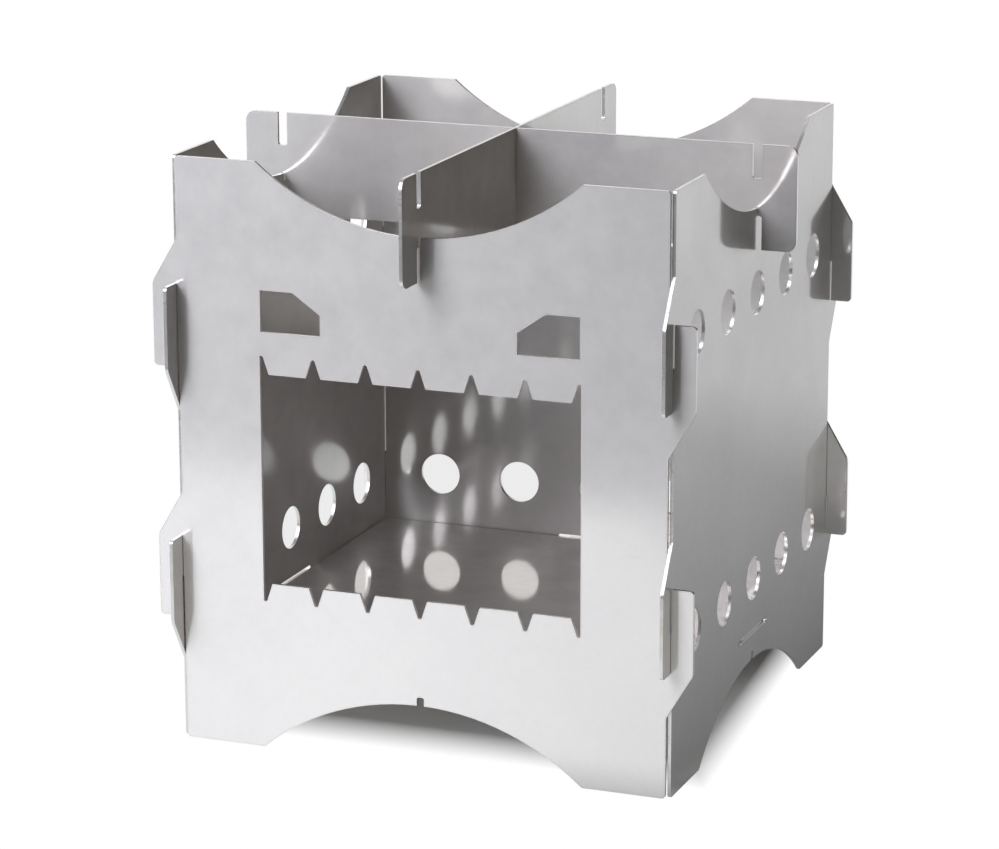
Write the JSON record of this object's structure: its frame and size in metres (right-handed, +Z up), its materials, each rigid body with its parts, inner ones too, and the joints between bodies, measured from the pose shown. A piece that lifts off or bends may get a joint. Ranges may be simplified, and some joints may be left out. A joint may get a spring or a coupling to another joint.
{
  "type": "hobo stove",
  "caption": "Square take-down camp stove of hooked sheet-steel walls, with a notched fire door, rows of air holes, a tabbed floor plate and crossed lift-off bars that hold a pot.",
  "frame": {"origin": "on the ground under the middle of the square box, at the bottom of the feet", "axes": "+X right along the front wall as seen from outside, +Y from the front wall with the fire door to the back wall, +Z up to the pot"},
  "size_m": [0.174, 0.174, 0.1737],
  "materials": {
    "steel_walls": "satin rolled stainless sheet with bright laser-cut edges",
    "steel_floor": "smooth rolled stainless sheet that mirrors the walls softly",
    "steel_bars": "satin rolled stainless sheet with bright laser-cut edges"
  },
  "bodies": {
    "stove_box": {"front_wall": "steel_walls", "right_wall": "steel_walls", "back_wall": "steel_walls", "left_wall": "steel_walls", "floor_plate": "steel_floor"},
    "lower_bar": {"pot_bar_lower": "steel_bars"},
    "upper_bar": {"pot_bar_upper": "steel_bars"}
  },
  "joints": [
    {"name": "lower_bar_lift", "type": "slide", "parent": "stove_box", "child": "lower_bar", "axis": [0, 0, 1], "range_m": [0, 0.04]},
    {"name": "upper_bar_lift", "type": "slide", "parent": "lower_bar", "child": "upper_bar", "axis": [0, 0, 1], "range_m": [0, 0.04]}
  ]
}
